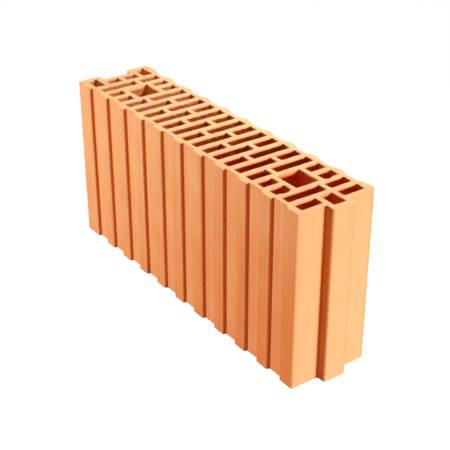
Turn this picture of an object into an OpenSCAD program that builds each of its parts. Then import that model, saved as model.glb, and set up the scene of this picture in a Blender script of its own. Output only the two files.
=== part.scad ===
// Hollow clay block for partition walls, extruded through a die and cut to height by wire.
// It is one fired piece. Its section has rows of upright slots, two grip holes, a tongue at one
// end, a groove at the other, and upright recesses along both long sides.
// X runs along the block towards the tongue, Y across it, and Z up from the lower bed face.

/* [Block] */
// Length from the groove end to the shoulder beside the tongue
body_l = 498; // [460:1:560]
// Width over the raised bands of the long sides
body_w = 115; // [105:1:150]
// Height between the two bed faces
body_h = 238; // [60:1:300]
// Radius of the upright corners of the ears, the shoulder and the tongue
corner_r = 3; // [1:0.5:5]

/* [Tongue and groove] */
// Width of the tongue
tongue_w = 33.5; // [30:0.5:38]
// How far the tongue stands out of the shoulder
tongue_d = 12.5; // [8:0.5:16]
// Room on each side of a neighbour's tongue in the groove
groove_side_gap = 5; // [1:0.5:6]
// Room in front of a neighbour's tongue in the groove
groove_end_gap = 0.5; // [0.5:0.5:3]
// Radius in the inner corners beside the tongue and at the floor of the groove
root_r = 3; // [1:0.5:4]

/* [Walls and webs] */
// Number of slot rows from the groove to the tongue
rows = 21; // [13:2:25]
// Web between one row and the next
cross_web = 7.8; // [6:0.1:9]
// Web between two holes of the same row
row_web = 6.5; // [5:0.1:8]
// Wall between the rows and each end, also in front of the holes in the ears
end_wall = 6; // [5:0.5:9]
// Wall between the rows and the raised bands
side_wall = 10.5; // [9:0.5:14]
// Wall between the groove and the hole in each ear beside it
ear_wall = 9.5; // [7:0.5:11]
// Wall in front of the hole in the tongue
tongue_wall = 7.5; // [6:0.5:9]

/* [Holes] */
// Radius in the corners of every hole
hole_r = 2; // [0.5:0.5:3]
// How far the web of a staggered row lies from the middle of the block
stagger = 12.5; // [10:0.5:20]
// Width of a grip hole across the block
grip_w = 34.5; // [28:0.5:40]
// Width of the hole in the tongue
tongue_hole_w = 18; // [14:0.5:20]

/* [Side recesses] */
// Number of recesses along each long side
recess_count = 10; // [6:1:11]
// Width of a recess between its flanks
recess_w = 24.2; // [20:0.1:30]
// Depth of a recess
recess_d = 4.5; // [4:0.5:6]
// Raised band between the groove end and the first recess
groove_band = 33.5; // [26:0.5:38]
// Raised band between the last recess and the shoulder
tongue_band = 24.5; // [18:0.5:30]
// Radius of the edges of the raised bands
band_r = 2; // [0.5:0.5:2]
// Radius at the foot of the raised bands
foot_r = 1.8; // [0.5:0.1:1.8]

/* [Hidden] */

// Steps of a full circle
arc_steps = 48;

// Planes along the block
overall_l = body_l + tongue_d;
groove_end_x = -overall_l / 2;
groove_d = tongue_d + groove_end_gap;
groove_floor_x = groove_end_x + groove_d;
shoulder_x = groove_end_x + body_l;
tongue_front_x = shoulder_x + tongue_d;

// Planes across the block
side_y = body_w / 2;
recess_y = side_y - recess_d;
hole_y = side_y - side_wall;
groove_y = tongue_w / 2 + groove_side_gap;
ear_hole_y = groove_y + ear_wall;

// The slots share what the walls and webs leave of the length
slot_w = (body_l - groove_d - 2 * end_wall - (rows - 1) * cross_web) / rows;
row_pitch = slot_w + cross_web;

// The recesses are spread evenly between the two end bands
first_recess_x = groove_end_x + groove_band;
recess_pitch = (body_l - groove_band - tongue_band - recess_w) / (recess_count - 1);

// Where a row's slots begin along X
function row_x(row) = groove_floor_x + end_wall + row * row_pitch;

// Rectangle between two planes along X and two along Y, with its corners rounded by arcs
module rounded(x0, x1, y0, y1, r) {
    translate([x0 + r, y0])
        square([x1 - x0 - 2 * r, y1 - y0]);
    translate([x0, y0 + r])
        square([x1 - x0, y1 - y0 - 2 * r]);
    for (x = [x0 + r, x1 - r], y = [y0 + r, y1 - r])
        translate([x, y])
            circle(r = r, $fn = arc_steps);
}

// Rounding of the inner corner at a point, whose open side lies the way that the signs say
module fillet(x, y, sign_x, sign_y, r) {
    translate([x, y])
        difference() {
            square(2 * r, center = true);
            translate([sign_x * r, sign_y * r])
                circle(r = r, $fn = arc_steps);
        }
}

module both_sides() {
    children();
    mirror([0, 1])
        children();
}

module slot(row, y0, y1) {
    rounded(row_x(row), row_x(row) + slot_w, y0, y1, hole_r);
}

// A long and a short slot, which change sides from row to row
module staggered_row(row) {
    web_y = row % 2 == 0 ? -stagger : stagger;
    slot(row, -hole_y, web_y - row_web / 2);
    slot(row, web_y + row_web / 2, hole_y);
}

// Two rows of short slots, and a grip hole between them as long as both rows
module grip_rows(row) {
    both_sides()
        for (r = [row, row + 1])
            slot(r, grip_w / 2 + row_web, hole_y);
    rounded(row_x(row), row_x(row + 1) + slot_w, -grip_w / 2, grip_w / 2, hole_r);
}

// Two slots behind the groove, and a longer hole that reaches into each ear
module groove_row() {
    both_sides() {
        slot(0, row_web / 2, ear_hole_y - row_web);
        rounded(groove_end_x + end_wall, row_x(0) + slot_w, ear_hole_y, hole_y, hole_r);
    }
}

// Two slots behind the shoulder, and a longer hole that reaches into the tongue
module tongue_row() {
    both_sides()
        slot(rows - 1, tongue_hole_w / 2 + row_web, hole_y);
    rounded(
        row_x(rows - 1), tongue_front_x - tongue_wall,
        -tongue_hole_w / 2, tongue_hole_w / 2, hole_r
    );
}

module holes() {
    groove_row();
    staggered_row(1);
    grip_rows(2);
    for (row = [4 : rows - 5])
        staggered_row(row);
    grip_rows(rows - 4);
    staggered_row(rows - 2);
    tongue_row();
}

// Raised band of the +Y side, which stands on the core
module band(x0, x1, r) {
    rounded(x0, x1, recess_y - 2 * r, side_y, r);
}

// Raised bands of the +Y side, with a fillet at both flanks of each recess between them
module bands() {
    band(groove_floor_x, first_recess_x, band_r);
    for (k = [0 : recess_count - 1]) {
        recess_x = first_recess_x + k * recess_pitch;
        fillet(recess_x, recess_y, 1, 1, foot_r);
        fillet(recess_x + recess_w, recess_y, -1, 1, foot_r);
        if (k > 0)
            band(recess_x - recess_pitch + recess_w, recess_x, band_r);
    }
    band(shoulder_x - tongue_band, shoulder_x - corner_r, band_r);
    band(shoulder_x - tongue_band + band_r, shoulder_x, corner_r);
}

// Ear beside the groove on the +Y side
module ear() {
    rounded(groove_end_x, groove_floor_x + 2 * corner_r, groove_y, side_y, corner_r);
    fillet(groove_floor_x, groove_y, -1, -1, root_r);
}

module tongue() {
    rounded(shoulder_x - 2 * corner_r, tongue_front_x, -tongue_w / 2, tongue_w / 2, corner_r);
    both_sides()
        fillet(shoulder_x, tongue_w / 2, 1, 1, root_r);
}

module outline() {
    translate([groove_floor_x, -recess_y])
        square([shoulder_x - groove_floor_x, 2 * recess_y]);
    both_sides() {
        ear();
        bands();
    }
    tongue();
}

module clay_block() {
    color([0.93, 0.6, 0.36])
        linear_extrude(height = body_h)
            difference() {
                outline();
                holes();
            }
}

clay_block();
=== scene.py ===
"""Looks of a hollow clay block: fired clay with wire-cut bed faces, extrusion marks and worn edges.

The block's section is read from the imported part, so every main size stays with the part's source.
This script adds the fine relief, the clay's colours, the floor, the light and the camera.
Lengths are in metres.
"""

import math

import bpy
import numpy as np
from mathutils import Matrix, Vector, geometry, noise


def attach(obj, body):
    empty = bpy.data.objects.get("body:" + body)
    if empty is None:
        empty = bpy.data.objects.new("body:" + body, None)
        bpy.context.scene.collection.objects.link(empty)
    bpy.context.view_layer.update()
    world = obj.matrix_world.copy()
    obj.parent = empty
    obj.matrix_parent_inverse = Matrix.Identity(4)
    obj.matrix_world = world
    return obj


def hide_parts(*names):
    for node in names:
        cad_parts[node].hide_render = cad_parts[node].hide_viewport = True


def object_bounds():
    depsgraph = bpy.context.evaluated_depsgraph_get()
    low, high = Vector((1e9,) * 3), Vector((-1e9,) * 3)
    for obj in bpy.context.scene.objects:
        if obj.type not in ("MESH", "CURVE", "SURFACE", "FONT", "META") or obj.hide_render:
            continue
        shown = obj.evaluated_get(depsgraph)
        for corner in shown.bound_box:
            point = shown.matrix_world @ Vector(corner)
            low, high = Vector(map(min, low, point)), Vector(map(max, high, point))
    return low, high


NODE = "clay_block"

MM = 0.001

# How far below the top the corners of the part's upper bed face may lie
TOP_MATCH = 0.1 * MM
# Spacing of the mesh points along the outline, along the holes and over the bed faces
OUTLINE_STEP = 1.6 * MM
HOLE_STEP = 3 * MM
BED_STEP = 2.4 * MM
# Points of the section's arcs are at least this far apart
ARC_STEP = 0.55 * MM
# Points of the bed faces: seed of their random shifts, how far these go, and how clear of the edges
# the points stay
BED_SEED = 5
BED_SHIFT = 0.25 * BED_STEP
BED_CLEAR = 0.6 * BED_STEP
# What Blender's triangulation is asked for, and how close its points may be
TRIANGLES_INSIDE = 1
EDGE_MATCH = 1e-7
# Rings of points across each worn edge, up the outline between its edges, and in the holes by depth
EDGE_STEPS = 3
OUTLINE_LEVELS = 18
HOLE_DEPTHS = (1.8 * MM, 3.5 * MM, 6 * MM, 10 * MM, 18 * MM, 50 * MM)

# Worn edges of the bed faces: mean radius, how far it varies, the length of its waves and the height at
# which their noise is read, and the share of the radius that the holes have
EDGE_RADIUS = 0.7 * MM
EDGE_SPREAD = 0.3 * MM
EDGE_WAVE = 14 * MM
EDGE_WAVE_Z = 0.5
HOLE_EDGE = 0.5
# Width of the ring of points beside each worn edge, which keeps the bed faces flat up to it
EDGE_FLAT = 0.4 * MM
# Upright corners of the outline are worn further down: how much more at a quarter turn, and how far
# along the walls beside it
CORNER_WEAR = 1.3
CORNER_REACH = 4 * MM

# The upper corners of the raised bands are worn back towards the floor of the recess: the share of the
# step that is lost at its flank, how far along the band and how far down this reaches, and the depths
# of the rings of points that show it
STEP_WEAR = 0.5
STEP_REACH = 9 * MM
STEP_DEPTH = 5 * MM
STEP_RINGS = (2.5 * MM, 5 * MM)
# How squarely a wall faces along the block where it is the flank of a step
STEP_FACING = 0.8

# Depth of the extrusion marks, which run up the walls, and their widths
MARK_DEPTHS = (0.16 * MM, 0.10 * MM)
MARK_WIDTHS = (7 * MM, 2.6 * MM)
# Slow waves of the walls of the holes
WAVE_DEPTH = 0.35 * MM
WAVE_LENGTH = 24 * MM
# Roughness of the bed faces left by the cutting wire
CUT_DEPTHS = (0.25 * MM, 0.18 * MM)
CUT_WIDTHS = (16 * MM, 4 * MM)

# Walls of two slots are pushed along X: how far these walls lie behind the front of the tongue, and for
# each place its middle and half length across the block and how far it is pushed
BULGE_SETBACK = 64.29 * MM
BULGES = (
    (30 * MM, 7 * MM, 2.6 * MM),
    (-34 * MM, 8 * MM, 2.4 * MM),
    (-24 * MM, 5 * MM, -0.8 * MM),
)
# How near to these walls points move with them, and how long the ends of a bulge slope
BULGE_REACH = 3 * MM
BULGE_SLOPE = 5 * MM

# Painted shade: the clay is painted darker red where little light reaches it. On the outline that is where
# steps hide much of the half plane in front of a point: how far off they still do, the number of rays that
# test it, how far off the wall these start, and the open shares at which the painted shade begins and is
# full
SHADE_REACH = 25 * MM
SHADE_RAYS = 24
RAY_START = 0.05 * MM
SHADE_OPEN = (0.74, 0.65)
# Least cross product of a ray and an edge, so that parallel ones don't divide by zero
LEAST_CROSS = 1e-12
# A point where the outline turns inwards by more than this angle takes the least open share that is
# found within this distance
HOLLOW_TURN = 1e-3
SHADE_SPREAD = 3 * MM
# Depths below the bed faces at which the painted shade begins and is full, and how many times deeper these
# are on the +Y side
SHADE_EDGE = (0.2 * MM, 1.0 * MM)
SHADE_BEHIND = 6
# Painted shade of the upright corners, at both ends and wherever they face the tongue end by more than
# this share
CORNER_SHADE = 0.9
CORNER_FACING = 0.1
# In the holes, painted shade: the depths at which it begins and is full, how much is added to them where
# the wall faces +X, and the share that is lost where it faces -Y; these walls, which the lamps light, stay
# paler as painted light
SHADE_DEPTH = (0, 2 * MM)
SHADE_FACING = (2.0 * MM, 2.4 * MM)
SHADE_ACROSS = 0.3
# The holes lose their painted shade towards the groove, as painted light where the lamps reach into them:
# where this begins and ends along X, and how much goes
LIT_HOLES_REACH = (-15 * MM, -160 * MM)
LIT_HOLES_SHARE = 0.82

# Colours as linear values: skin of the long sides, skin of the ends, cut faces, and the painted shade red
# of the outline and of the holes
SIDE_DARK = (0.885, 0.25, 0.075, 1)
SIDE_PALE = (0.96, 0.45, 0.19, 1)
END_DARK = (0.93, 0.45, 0.195, 1)
END_PALE = (0.96, 0.53, 0.245, 1)
CUT_DARK = (0.93, 0.47, 0.22, 1)
CUT_PALE = (0.98, 0.64, 0.335, 1)
STEP_SHADE_RED = (0.95, 0.24, 0.05, 1)
HOLE_SHADE_RED = (0.84, 0.175, 0.02, 1)
# Painted light: the skin of the long sides grows paler towards the groove and the top, and the cut faces
# towards the groove and -Y. The skin of the ends grows paler towards +Y and the bottom. How much per metre
SIDE_LIGHT_DRIFT = (-1.9, 0, 2.7)
END_DRIFT = (0, 4, -3)
CUT_LIGHT_DRIFT = (-0.8, -1.2, 0)

# The skin of the ends lies this far in from the long sides, and up to this far from the overall ends
END_INSET = 1.5 * MM
END_LENGTH = 20.25 * MM
# How squarely a wall faces along the block where it has the skin of the ends too
END_FACING = 0.5
# How far the floors of the recesses and the walls of the holes share the skin of the ends
RECESS_PALE = 0.22
HOLE_PALE = 0.45

# Noise in the clay: size of its grains, how many times longer they are upwards, and how fine it gets
MOTTLE = {"size": 60 * MM}
STREAK = {"size": 5 * MM, "stretch": 60}
HAIR = {"size": 1.6 * MM, "stretch": 90}
GRAIN = {"size": 1.5 * MM}
TEAR = {"size": 5 * MM, "detail": 5}
NOISE_DETAIL = 3
# Mean of Blender's noise, and of the tones between a dark and a pale colour
NOISE_MEAN = 0.5
TONE_MEAN = 0.5
# Share of the noises in the tones, beside the streaks and the tears
HAIR_SHARE = 0.7
MOTTLE_SHARE = 0.9
GRAIN_SHARE = 0.5
# Height of the streaks, of the tears on cut faces and in holes, and of the grain on everything
STREAK_HEIGHT = 0.25 * MM
CUT_TEAR_HEIGHT = 0.6 * MM
HOLE_TEAR_HEIGHT = 1.6 * MM
GRAIN_HEIGHT = 0.12 * MM
# How matt the clay is
ROUGHNESS = 0.95
SPECULAR = 0.04

# Floor: its half size, its colour for the light that it throws back, and what the camera sees of it
FLOOR_REACH = 3
FLOOR_COLOUR = (0.05, 0.05, 0.05, 1)
FLOOR_SHADOW = (0.05, 0.05, 0.05, 1)
FLOOR_GLOW = 0.99

# Lamps around a target: azimuth from +X towards +Y and elevation in degrees, distance, width, height
# and power in watts
LAMP_TARGET = Vector((0, 0, 0.15))
LAMPS = {
    "side_light": (248, 5.5, 2.2, 0.2, 0.2, 40),
    "end_light": (12.5, 9.3, 2.4, 0.12, 0.08, 49.5),
    "key_light": (79.5, 58, 0.8, 0.05, 0.05, 6.0),
    "far_fill": (195, 60, 0.9, 0.2, 0.2, 0.75),
    "front_fill": (320, 3, 2.5, 0.8, 0.2, 6.5),
}
# World: its colour, its light on the block, and how bright the camera sees it
WORLD_COLOUR = (1, 1, 1, 1)
AMBIENT = 0.02
BACKDROP = 1.0

# Camera: its place, its turn from +Y towards -X, how far it looks down, and its lens and sensor in
# millimetres
CAMERA_PLACE = Vector((1.0138, -0.7058, 0.7744))
CAMERA_TURN = math.radians(54.459)
CAMERA_TILT = math.radians(28.665)
CAMERA_LENS = 83.512
CAMERA_SENSOR = 36

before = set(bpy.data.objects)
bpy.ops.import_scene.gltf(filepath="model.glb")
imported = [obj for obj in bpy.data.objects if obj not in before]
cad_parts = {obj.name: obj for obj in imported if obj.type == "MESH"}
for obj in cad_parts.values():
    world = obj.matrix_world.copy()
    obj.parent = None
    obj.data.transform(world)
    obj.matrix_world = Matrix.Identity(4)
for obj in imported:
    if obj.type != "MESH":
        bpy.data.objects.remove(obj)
cad_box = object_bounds()
cad_low, cad_high = cad_box
BED_BOTTOM = cad_low.z
BED_TOP = cad_high.z
MIDDLE = (cad_low + cad_high) / 2
LONG_SIDE_REACH = cad_high.x - END_LENGTH
BULGE_X = cad_high.x - BULGE_SETBACK


def wave(x, y, z, length):
    """Smooth noise between about -1 and 1, whose bumps are about as wide as the length."""
    return noise.noise(Vector((x, y, z)) / length)


def ease(value, start, end):
    """Smooth step from 0 at the start to 1 at the end."""
    share = np.clip((value - start) / (end - start), 0, 1)
    return share * share * (3 - 2 * share)


def section_loops():
    """Closed loops of the section, read from the upper bed face, each with the clay on its left."""
    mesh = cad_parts[NODE].data
    edges = set()
    for polygon in mesh.polygons:
        corners = [mesh.vertices[i].co for i in polygon.vertices]
        if min(c.z for c in corners) < BED_TOP - TOP_MATCH:
            continue
        points = [(c.x, c.y) for c in corners]
        for edge in zip(points, points[1:] + points[:1]):
            if edge[::-1] in edges:
                edges.remove(edge[::-1])
            else:
                edges.add(edge)
    following = dict(sorted(edges))
    loops = []
    while following:
        start = next(iter(following))
        loop = [start]
        point = following.pop(start)
        while point != start:
            loop.append(point)
            point = following.pop(point)
        loops.append(np.array(loop))
    return loops


def resampled(loop, step):
    """The loop with its arcs thinned and no edge longer than the step."""
    kept = [loop[0]]
    for point in loop[1:]:
        if min(np.linalg.norm(point - kept[-1]), np.linalg.norm(point - loop[0])) > ARC_STEP:
            kept.append(point)
    points = []
    for here, there in zip(kept, kept[1:] + kept[:1]):
        count = max(1, math.ceil(np.linalg.norm(there - here) / step))
        points.extend(here + (there - here) * k / count for k in range(count))
    return np.array(points)


def outward(loop):
    """Unit vectors that point out of the clay at the points of a loop."""
    ahead = np.roll(loop, -1, axis=0) - loop
    ahead /= np.linalg.norm(ahead, axis=1)[:, None]
    along = ahead + np.roll(ahead, 1, axis=0)
    along /= np.linalg.norm(along, axis=1)[:, None]
    return np.column_stack([along[:, 1], -along[:, 0]])


def bulged(loop):
    """The loop of a hole, pushed along X where the real block is out of true."""
    moved = loop.copy()
    near = np.clip(1 - np.abs(loop[:, 0] - BULGE_X) / BULGE_REACH, 0, 1)
    for middle, half, depth in BULGES:
        share = ease(np.abs(loop[:, 1] - middle), half, half - BULGE_SLOPE)
        moved[:, 0] += depth * np.sqrt(near) * share
    return moved


def open_share(loop):
    """Share of the open half plane that each point of the outline sees past its own steps."""
    normals = outward(loop)
    sides = np.column_stack([-normals[:, 1], normals[:, 0]])
    starts = loop + normals * RAY_START
    apart = loop[None] - starts[:, None]
    edge = np.roll(loop, -1, axis=0) - loop
    sines = (np.arange(SHADE_RAYS) + 0.5) / SHADE_RAYS * 2 - 1
    seen = np.zeros(len(loop))
    for sine in sines:
        rays = normals * math.sqrt(1 - sine * sine) + sides * sine
        cross = rays[:, None, 0] * edge[None, :, 1] - rays[:, None, 1] * edge[None, :, 0]
        cross = np.where(np.abs(cross) < LEAST_CROSS, LEAST_CROSS, cross)
        reach = (apart[..., 0] * edge[None, :, 1] - apart[..., 1] * edge[None, :, 0]) / cross
        along = (apart[..., 0] * rays[:, None, 1] - apart[..., 1] * rays[:, None, 0]) / cross
        hit = (reach > 0) & (reach < SHADE_REACH) & (along >= 0) & (along < 1)
        seen += ~hit.any(axis=1)
    return seen / SHADE_RAYS


def turns_of(loop):
    """How far the outline turns at each point, in radians, above 0 where the clay sticks out."""
    edge = np.roll(loop, -1, axis=0) - loop
    before = np.roll(edge, 1, axis=0)
    return np.arctan2(
        before[:, 0] * edge[:, 1] - before[:, 1] * edge[:, 0],
        (before * edge).sum(axis=1),
    )


def spacing(loop):
    """How far apart each two points of the outline are along it."""
    lengths = np.linalg.norm(np.roll(loop, -1, axis=0) - loop, axis=1)
    along = np.cumsum(lengths)
    apart = np.abs(along[:, None] - along[None])
    return np.minimum(apart, lengths.sum() - apart)


def corner_share(loop):
    """1 at a corner of the outline that turns by a quarter, fading to 0 along the walls beside it."""
    near = 1 - ease(spacing(loop), 0, CORNER_REACH)
    turned = (near * np.maximum(turns_of(loop), 0)[None]).sum(axis=1)
    return np.clip(turned / (math.pi / 2), 0, 1)


def step_lost(loop):
    """How far each point of the outline is worn back across the block at the upper edge of a step.

    Steps that face the groove end are worn on both long sides, and the others on the +Y side only.
    """
    along_x = loop[:, 0]
    across = np.abs(loop[:, 1])
    on_side = np.abs(along_x) < LONG_SIDE_REACH
    floor_y = across[on_side].min()
    facing = outward(loop)[:, 0]
    worn = (facing < -STEP_FACING) | ((facing > STEP_FACING) & (loop[:, 1] > 0))
    flanks = loop[on_side & worn]
    apart = np.abs(along_x[:, None] - flanks[None, :, 0])
    same_side = loop[:, None, 1] * flanks[None, :, 1] > 0
    nearest = np.where(same_side, apart, STEP_REACH).min(axis=1)
    return STEP_WEAR * (across - floor_y) * (1 - ease(nearest, 0, STEP_REACH)) * on_side


def step_painted_shade(loop):
    """How much painted shade each point of the outline has, well below the bed face."""
    share = open_share(loop)
    least = np.where(spacing(loop) < SHADE_SPREAD, share[None], 1).min(axis=1)
    shaded = ease(np.where(turns_of(loop) < -HOLLOW_TURN, least, share), *SHADE_OPEN)
    # Painted shade on the upright corners
    marked = (np.abs(loop[:, 0]) > LONG_SIDE_REACH) | (outward(loop)[:, 0] > CORNER_FACING)
    corner = CORNER_SHADE * corner_share(loop) ** 2 * marked
    return np.maximum(shaded, corner)


def depth_of(wall):
    """How far the points of a wall lie from the nearer bed face."""
    return np.minimum(BED_TOP - wall[..., 2], wall[..., 2] - BED_BOTTOM)


def outline_painted_shade(loop, wall):
    """How much painted shade each point of the outline's wall has."""
    times = np.where(loop[:, 1] > 0, SHADE_BEHIND, 1)
    return step_painted_shade(loop) * ease(depth_of(wall) / times, *SHADE_EDGE)


def hole_painted_shade(loop, wall):
    """How much painted shade each point of a hole's wall has, less where the lamps light it."""
    facing, across = outward(loop).T
    added = np.clip(facing, 0, 1)
    start, end = (depth + added * more for depth, more in zip(SHADE_DEPTH, SHADE_FACING))
    kept = 1 - SHADE_ACROSS * np.clip(-across, 0, 1)
    # Painted light: the holes towards the groove lose most of their painted shade
    lit_share = LIT_HOLES_SHARE * ease(wall[..., 0], *LIT_HOLES_REACH)
    return ease(depth_of(wall), start, end) * kept * (1 - lit_share)


def end_share(loop):
    """1 where the outline has the skin of the ends, less on the floors of the recesses, 0 on the bands."""
    beside = np.abs(loop[:, 1]) < np.abs(loop[:, 1]).max() - END_INSET
    at_end = np.abs(loop[:, 0]) > LONG_SIDE_REACH
    flank = np.abs(outward(loop)[:, 0]) > END_FACING
    return np.where(beside & at_end | flank, 1, RECESS_PALE * beside)


def mark(x, y):
    """Height of the extrusion marks, which are the same all the way up a wall."""
    return sum(d * wave(x, y, 0, w) for d, w in zip(MARK_DEPTHS, MARK_WIDTHS))


def cut(x, y, side):
    """How far a bed face lies inside the part's own plane. The side is 1 above and -1 below."""
    rough = sum(d * (1 + wave(x, y, side, w)) for d, w in zip(CUT_DEPTHS, CUT_WIDTHS))
    return rough / 2


def wall_offset(x, y, z, is_hole):
    """How far a wall lies off the part's own face, out of the clay. The outline only goes inwards."""
    if is_hole:
        return mark(x, y) + WAVE_DEPTH * wave(x, y, z, WAVE_LENGTH)
    return mark(x, y) - sum(MARK_DEPTHS)


def worn_edge(radius, deeper):
    """A worn edge as distances in from the wall and off the bed face, starting on the bed face."""
    turns = [math.pi / 2 * k / EDGE_STEPS for k in range(EDGE_STEPS + 1)]
    edge = [(radius * (1 - math.sin(t)), deeper * radius * (1 - math.cos(t))) for t in turns]
    return [(radius + EDGE_FLAT, 0)] + edge


def wall_heights(upper, lower, is_hole):
    """Heights of the rings of points between the two worn edges of a wall."""
    if is_hole:
        return [upper - d for d in HOLE_DEPTHS] + [lower + d for d in HOLE_DEPTHS[::-1]]
    spread = np.linspace(upper - STEP_DEPTH, lower + STEP_DEPTH, OUTLINE_LEVELS + 2)
    return [upper - d for d in STEP_RINGS] + list(spread[1:-1]) + [lower + d for d in STEP_RINGS[::-1]]


def rings(loop, is_hole):
    """Rings of points of one wall, from the upper bed face over both worn edges to the lower one."""
    deeper = np.ones(len(loop)) if is_hole else 1 + CORNER_WEAR * corner_share(loop)
    lost = np.zeros(len(loop)) if is_hole else step_lost(loop)
    columns = []
    for (x, y), (nx, ny), more, back in zip(loop, outward(loop), deeper, lost):
        radius = EDGE_RADIUS + EDGE_SPREAD * wave(x, y, EDGE_WAVE_Z, EDGE_WAVE)
        if is_hole:
            radius *= HOLE_EDGE
        edge = worn_edge(radius, more)
        upper = BED_TOP - cut(x, y, 1)
        lower = BED_BOTTOM + cut(x, y, -1)
        profile = [(inset, upper - drop) for inset, drop in edge]
        profile += [(0, z) for z in wall_heights(upper, lower, is_hole)]
        profile += [(inset, lower + drop) for inset, drop in edge[::-1]]
        column = []
        for inset, z in profile:
            reach = wall_offset(x, y, z, is_hole) - inset
            worn = back * (1 - ease(upper - z, 0, STEP_DEPTH))
            column.append((x + nx * reach, y + ny * reach - math.copysign(worn, y), z))
        columns.append(column)
    return np.array(columns).transpose(1, 0, 2)


def bed_points(rims):
    """Points spread over the clay between the rims of the walls, and clear of them."""
    rng = np.random.default_rng(BED_SEED)
    xs = np.arange(cad_low.x, cad_high.x, BED_STEP)
    ys = np.arange(cad_low.y, cad_high.y, BED_STEP)
    grid = np.stack(np.meshgrid(xs, ys), axis=-1).reshape(-1, 2)
    grid += rng.uniform(-BED_SHIFT, BED_SHIFT, grid.shape)
    crossings = np.zeros(len(grid), int)
    clear = np.ones(len(grid), bool)
    px, py = grid.T[:, :, None]
    for rim in rims:
        x0, y0 = rim.T
        x1, y1 = np.roll(rim, -1, axis=0).T
        crossed = (y0 > py) != (y1 > py)
        rise = np.where(y0 == y1, 1, y1 - y0)
        crossings += (crossed & (x0 + (py - y0) * (x1 - x0) / rise > px)).sum(axis=1)
        clear &= ((x0 - px) ** 2 + (y0 - py) ** 2).min(axis=1) > BED_CLEAR ** 2
    return grid[clear & (crossings % 2 == 1)]


def bed_triangles(rims, points):
    """Triangles that join the rims and the points between them, as indices into both in that order."""
    flat = [Vector(p) for rim in rims for p in rim]
    owner = [k for k, rim in enumerate(rims) for _ in rim]
    edges = []
    for rim in rims:
        first = len(edges)
        edges.extend((first + k, first + (k + 1) % len(rim)) for k in range(len(rim)))
    border = len(flat)
    flat.extend(Vector(p) for p in points)
    found = geometry.delaunay_2d_cdt(flat, edges, [], TRIANGLES_INSIDE, EDGE_MATCH)
    sources = [source[0] for source in found[3]]
    triangles = []
    for face in found[2]:
        corners = [sources[i] for i in face]
        a, b, c = (flat[i] for i in sorted(corners))
        on_one_rim = max(corners) < border and len({owner[i] for i in corners}) == 1
        if on_one_rim and (b - a).cross(c - a) < 0:
            continue
        triangles.append(corners)
    return np.array(triangles)


def clay_mesh():
    """The whole block as one closed mesh, with what the material needs to know of each point."""
    loops = section_loops()
    longest = max(range(len(loops)), key=lambda i: np.ptp(loops[i][:, 0]))
    vertices = []
    faces = []
    painted_shade = []
    at_end = []
    in_hole = []
    rims = []
    flats = []
    outlines = []
    for i, loop in enumerate(loops):
        is_hole = i != longest
        if is_hole:
            points = bulged(resampled(loop, HOLE_STEP))
        else:
            points = resampled(loop, OUTLINE_STEP)
        wall = rings(points, is_hole)
        levels, count, _ = wall.shape
        index = len(vertices) + np.arange(levels * count).reshape(levels, count)
        following = np.roll(index, -1, axis=1)
        quads = np.stack([index[:-1], index[1:], following[1:], following[:-1]], axis=-1)
        vertices.extend(wall.reshape(-1, 3))
        faces.extend(quads.reshape(-1, 4).tolist())
        if is_hole:
            painted_shade.extend(hole_painted_shade(points, wall).ravel())
            at_end.extend(np.full(levels * count, HOLE_PALE))
        else:
            painted_shade.extend(outline_painted_shade(points, wall).ravel())
            at_end.extend(np.tile(end_share(points), levels))
        in_hole.extend(np.full(levels * count, is_hole))
        rims.append((index[0], index[-1]))
        flats.extend([index[1], index[-2]])
        outlines.append(wall[0][:, :2])

    inner = bed_points(outlines)
    triangles = bed_triangles(outlines, inner)
    cut_face = np.zeros(len(vertices) + 2 * len(inner))
    cut_face[len(vertices):] = 1
    cut_face[np.concatenate(flats)] = 1
    for end, side in ((0, 1), (1, -1)):
        bed = BED_TOP if side > 0 else BED_BOTTOM
        rim = np.concatenate([r[end] for r in rims])
        cut_face[rim] = 1
        order = np.concatenate([rim, len(vertices) + np.arange(len(inner))])
        vertices.extend((x, y, bed - side * cut(x, y, side)) for x, y in inner)
        faces.extend(order[triangles[:, ::side]].tolist())
    for values in (painted_shade, at_end, in_hole):
        values.extend(np.zeros(2 * len(inner)))

    mesh = bpy.data.meshes.new("clay_body")
    mesh.from_pydata([tuple(v) for v in vertices], [], faces)
    mesh.polygons.foreach_set("use_smooth", [True] * len(mesh.polygons))
    known = {"cut_face": cut_face, "painted_shade": painted_shade, "at_end": at_end, "in_hole": in_hole}
    for name, values in known.items():
        layer = mesh.attributes.new(name, "FLOAT", "POINT")
        layer.data.foreach_set("value", np.array(values, np.float32))
    mesh.update()
    return mesh


def add(tree, kind, inputs, **settings):
    """A new shader node, with its inputs given as values or as the sockets that feed them."""
    made = tree.nodes.new("ShaderNode" + kind)
    for name, value in settings.items():
        setattr(made, name, value)
    for name, value in inputs.items():
        if isinstance(value, bpy.types.NodeSocket):
            tree.links.new(value, made.inputs[name])
        else:
            made.inputs[name].default_value = value
    return made


def math_of(tree, operation, first, second):
    return add(tree, "Math", {0: first, 1: second}, operation=operation).outputs[0]


def between(tree, share, first, second):
    """Number between two others."""
    return add(tree, "Mix", {0: share, 2: first, 3: second}).outputs[0]


def blended(tree, share, first, second):
    """Colour between two others."""
    return add(tree, "Mix", {0: share, 6: first, 7: second}, data_type="RGBA").outputs[2]


def attribute(tree, name):
    return add(tree, "Attribute", {}, attribute_name=name).outputs["Fac"]


def noise_of(tree, size, stretch=1, detail=NOISE_DETAIL):
    """Noise around zero, whose grains have the size, and are longer by the stretch along Z."""
    spot = add(tree, "TexCoord", {}).outputs["Object"]
    scaled = add(tree, "Mapping", {"Vector": spot, "Scale": (1, 1, 1 / stretch)}).outputs[0]
    found = add(tree, "TexNoise", {"Vector": scaled, "Scale": 1 / size, "Detail": detail})
    return math_of(tree, "SUBTRACT", found.outputs["Fac"], NOISE_MEAN)


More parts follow.
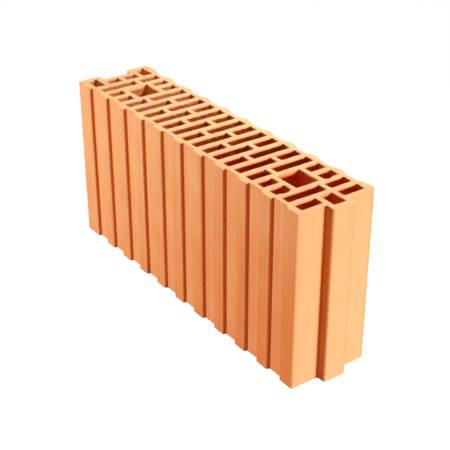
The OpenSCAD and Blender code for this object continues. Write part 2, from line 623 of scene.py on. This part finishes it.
def drift_of(tree, drift):
    """Slow change of the tone through the block, around zero at its middle."""
    spot = add(tree, "TexCoord", {}).outputs["Object"]
    around = add(tree, "VectorMath", {0: spot, 1: MIDDLE}, operation="SUBTRACT").outputs[0]
    return add(tree, "VectorMath", {0: around, 1: drift}, operation="DOT_PRODUCT").outputs["Value"]


def toned(tree, tone, drift, dark, lit_share):
    """Colour between the dark and the pale one by the tone, which drifts through the block."""
    return blended(tree, math_of(tree, "ADD", tone, drift_of(tree, drift)), dark, lit_share)


def clay_material():
    """Unglazed fired clay: streaked skin, paler and rougher where the wire cut it, with painted shade in
    hollows and holes.
    """
    material = bpy.data.materials.new("clay")
    material.use_nodes = True
    tree = material.node_tree
    shader = tree.nodes["Principled BSDF"]
    shader.inputs["Roughness"].default_value = ROUGHNESS
    shader.inputs["Specular IOR Level"].default_value = SPECULAR
    is_cut = attribute(tree, "cut_face")
    in_hole = attribute(tree, "in_hole")
    grain = noise_of(tree, **GRAIN)
    tear = noise_of(tree, **TEAR)
    hair = math_of(tree, "MULTIPLY", noise_of(tree, **HAIR), HAIR_SHARE)
    streaks = math_of(tree, "ADD", noise_of(tree, **STREAK), hair)

    mottle = math_of(tree, "MULTIPLY", noise_of(tree, **MOTTLE), MOTTLE_SHARE)
    spots = math_of(tree, "ADD", mottle, math_of(tree, "MULTIPLY", grain, GRAIN_SHARE))
    skin_tone = math_of(tree, "ADD", math_of(tree, "ADD", streaks, spots), TONE_MEAN)
    cut_tone = math_of(tree, "ADD", math_of(tree, "ADD", tear, spots), TONE_MEAN)
    # The drifts of the long sides and of the cut faces are painted light
    side = toned(tree, skin_tone, SIDE_LIGHT_DRIFT, SIDE_DARK, SIDE_PALE)
    end = toned(tree, skin_tone, END_DRIFT, END_DARK, END_PALE)
    skin = blended(tree, attribute(tree, "at_end"), side, end)
    # Painted shade: a darker red laid over the skin where little light reaches
    red = blended(tree, in_hole, STEP_SHADE_RED, HOLE_SHADE_RED)
    skin = blended(tree, attribute(tree, "painted_shade"), skin, red)
    colour = blended(tree, is_cut, skin, toned(tree, cut_tone, CUT_LIGHT_DRIFT, CUT_DARK, CUT_PALE))
    tree.links.new(colour, shader.inputs["Base Color"])

    skin_height = math_of(tree, "MULTIPLY", streaks, STREAK_HEIGHT)
    hole_height = math_of(tree, "MULTIPLY", tear, HOLE_TEAR_HEIGHT)
    cut_height = math_of(tree, "MULTIPLY", tear, CUT_TEAR_HEIGHT)
    height = between(tree, is_cut, between(tree, in_hole, skin_height, hole_height), cut_height)
    height = math_of(tree, "ADD", height, math_of(tree, "MULTIPLY", grain, GRAIN_HEIGHT))
    # The heights are in metres, so the bump takes them as they are
    bump = add(tree, "Bump", {"Height": height, "Distance": 1})
    tree.links.new(bump.outputs[0], shader.inputs["Normal"])
    return material


def looked_at(tree):
    """1 for what the camera sees, straight or through gloss or glass, and 0 for the light it throws."""
    path = add(tree, "LightPath", {}).outputs
    seen = math_of(tree, "MAXIMUM", path["Is Camera Ray"], path["Is Glossy Ray"])
    return math_of(tree, "MAXIMUM", seen, path["Is Transmission Ray"])


def floor_material():
    """Floor that shows as white apart from the block's shadow, and throws back little light."""
    material = bpy.data.materials.new("floor")
    material.use_nodes = True
    tree = material.node_tree
    tree.nodes.remove(tree.nodes["Principled BSDF"])
    thrown = add(tree, "BsdfDiffuse", {"Color": FLOOR_COLOUR})
    shown = add(tree, "BsdfDiffuse", {"Color": FLOOR_SHADOW})
    glow = add(tree, "Emission", {"Strength": FLOOR_GLOW})
    white = add(tree, "AddShader", {0: shown.outputs[0], 1: glow.outputs[0]})
    mix = add(tree, "MixShader", {0: looked_at(tree), 1: thrown.outputs[0], 2: white.outputs[0]})
    tree.links.new(mix.outputs[0], tree.nodes["Material Output"].inputs["Surface"])
    return material


def place(name, data):
    made = bpy.data.objects.new(name, data)
    bpy.context.scene.collection.objects.link(made)
    return made


body = place("clay_body", clay_mesh())
body.data.materials.append(clay_material())
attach(body, "root")
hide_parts(NODE)

floor = place("floor", bpy.data.meshes.new("floor"))
signs = ((-1, -1), (1, -1), (1, 1), (-1, 1))
corners = [(x * FLOOR_REACH, y * FLOOR_REACH, BED_BOTTOM) for x, y in signs]
floor.data.from_pydata(corners, [], [(0, 1, 2, 3)])
floor.data.materials.append(floor_material())

for name, (azimuth, elevation, distance, width, height, power) in LAMPS.items():
    lamp = place(name, bpy.data.lights.new(name, "AREA"))
    lamp.data.shape = "ELLIPSE"
    lamp.data.size = width
    lamp.data.size_y = height
    lamp.data.energy = power
    turn = math.radians(azimuth)
    rise = math.radians(elevation)
    away = Vector((math.cos(turn) * math.cos(rise), math.sin(turn) * math.cos(rise), math.sin(rise)))
    lamp.location = LAMP_TARGET + away * distance
    lamp.rotation_euler = (-away).to_track_quat("-Z", "Y").to_euler()

world = bpy.data.worlds.new("studio")
bpy.context.scene.world = world
world.use_nodes = True
sky = world.node_tree.nodes["Background"]
sky.inputs["Color"].default_value = WORLD_COLOUR
strength = between(world.node_tree, looked_at(world.node_tree), AMBIENT, BACKDROP)
world.node_tree.links.new(strength, sky.inputs["Strength"])

camera = place("camera", bpy.data.cameras.new("camera"))
camera.data.lens = CAMERA_LENS
camera.data.sensor_width = CAMERA_SENSOR
camera.location = CAMERA_PLACE
camera.rotation_euler = (math.pi / 2 - CAMERA_TILT, 0, CAMERA_TURN)
bpy.context.scene.camera = camera
bpy.context.scene.view_settings.view_transform = "Standard"
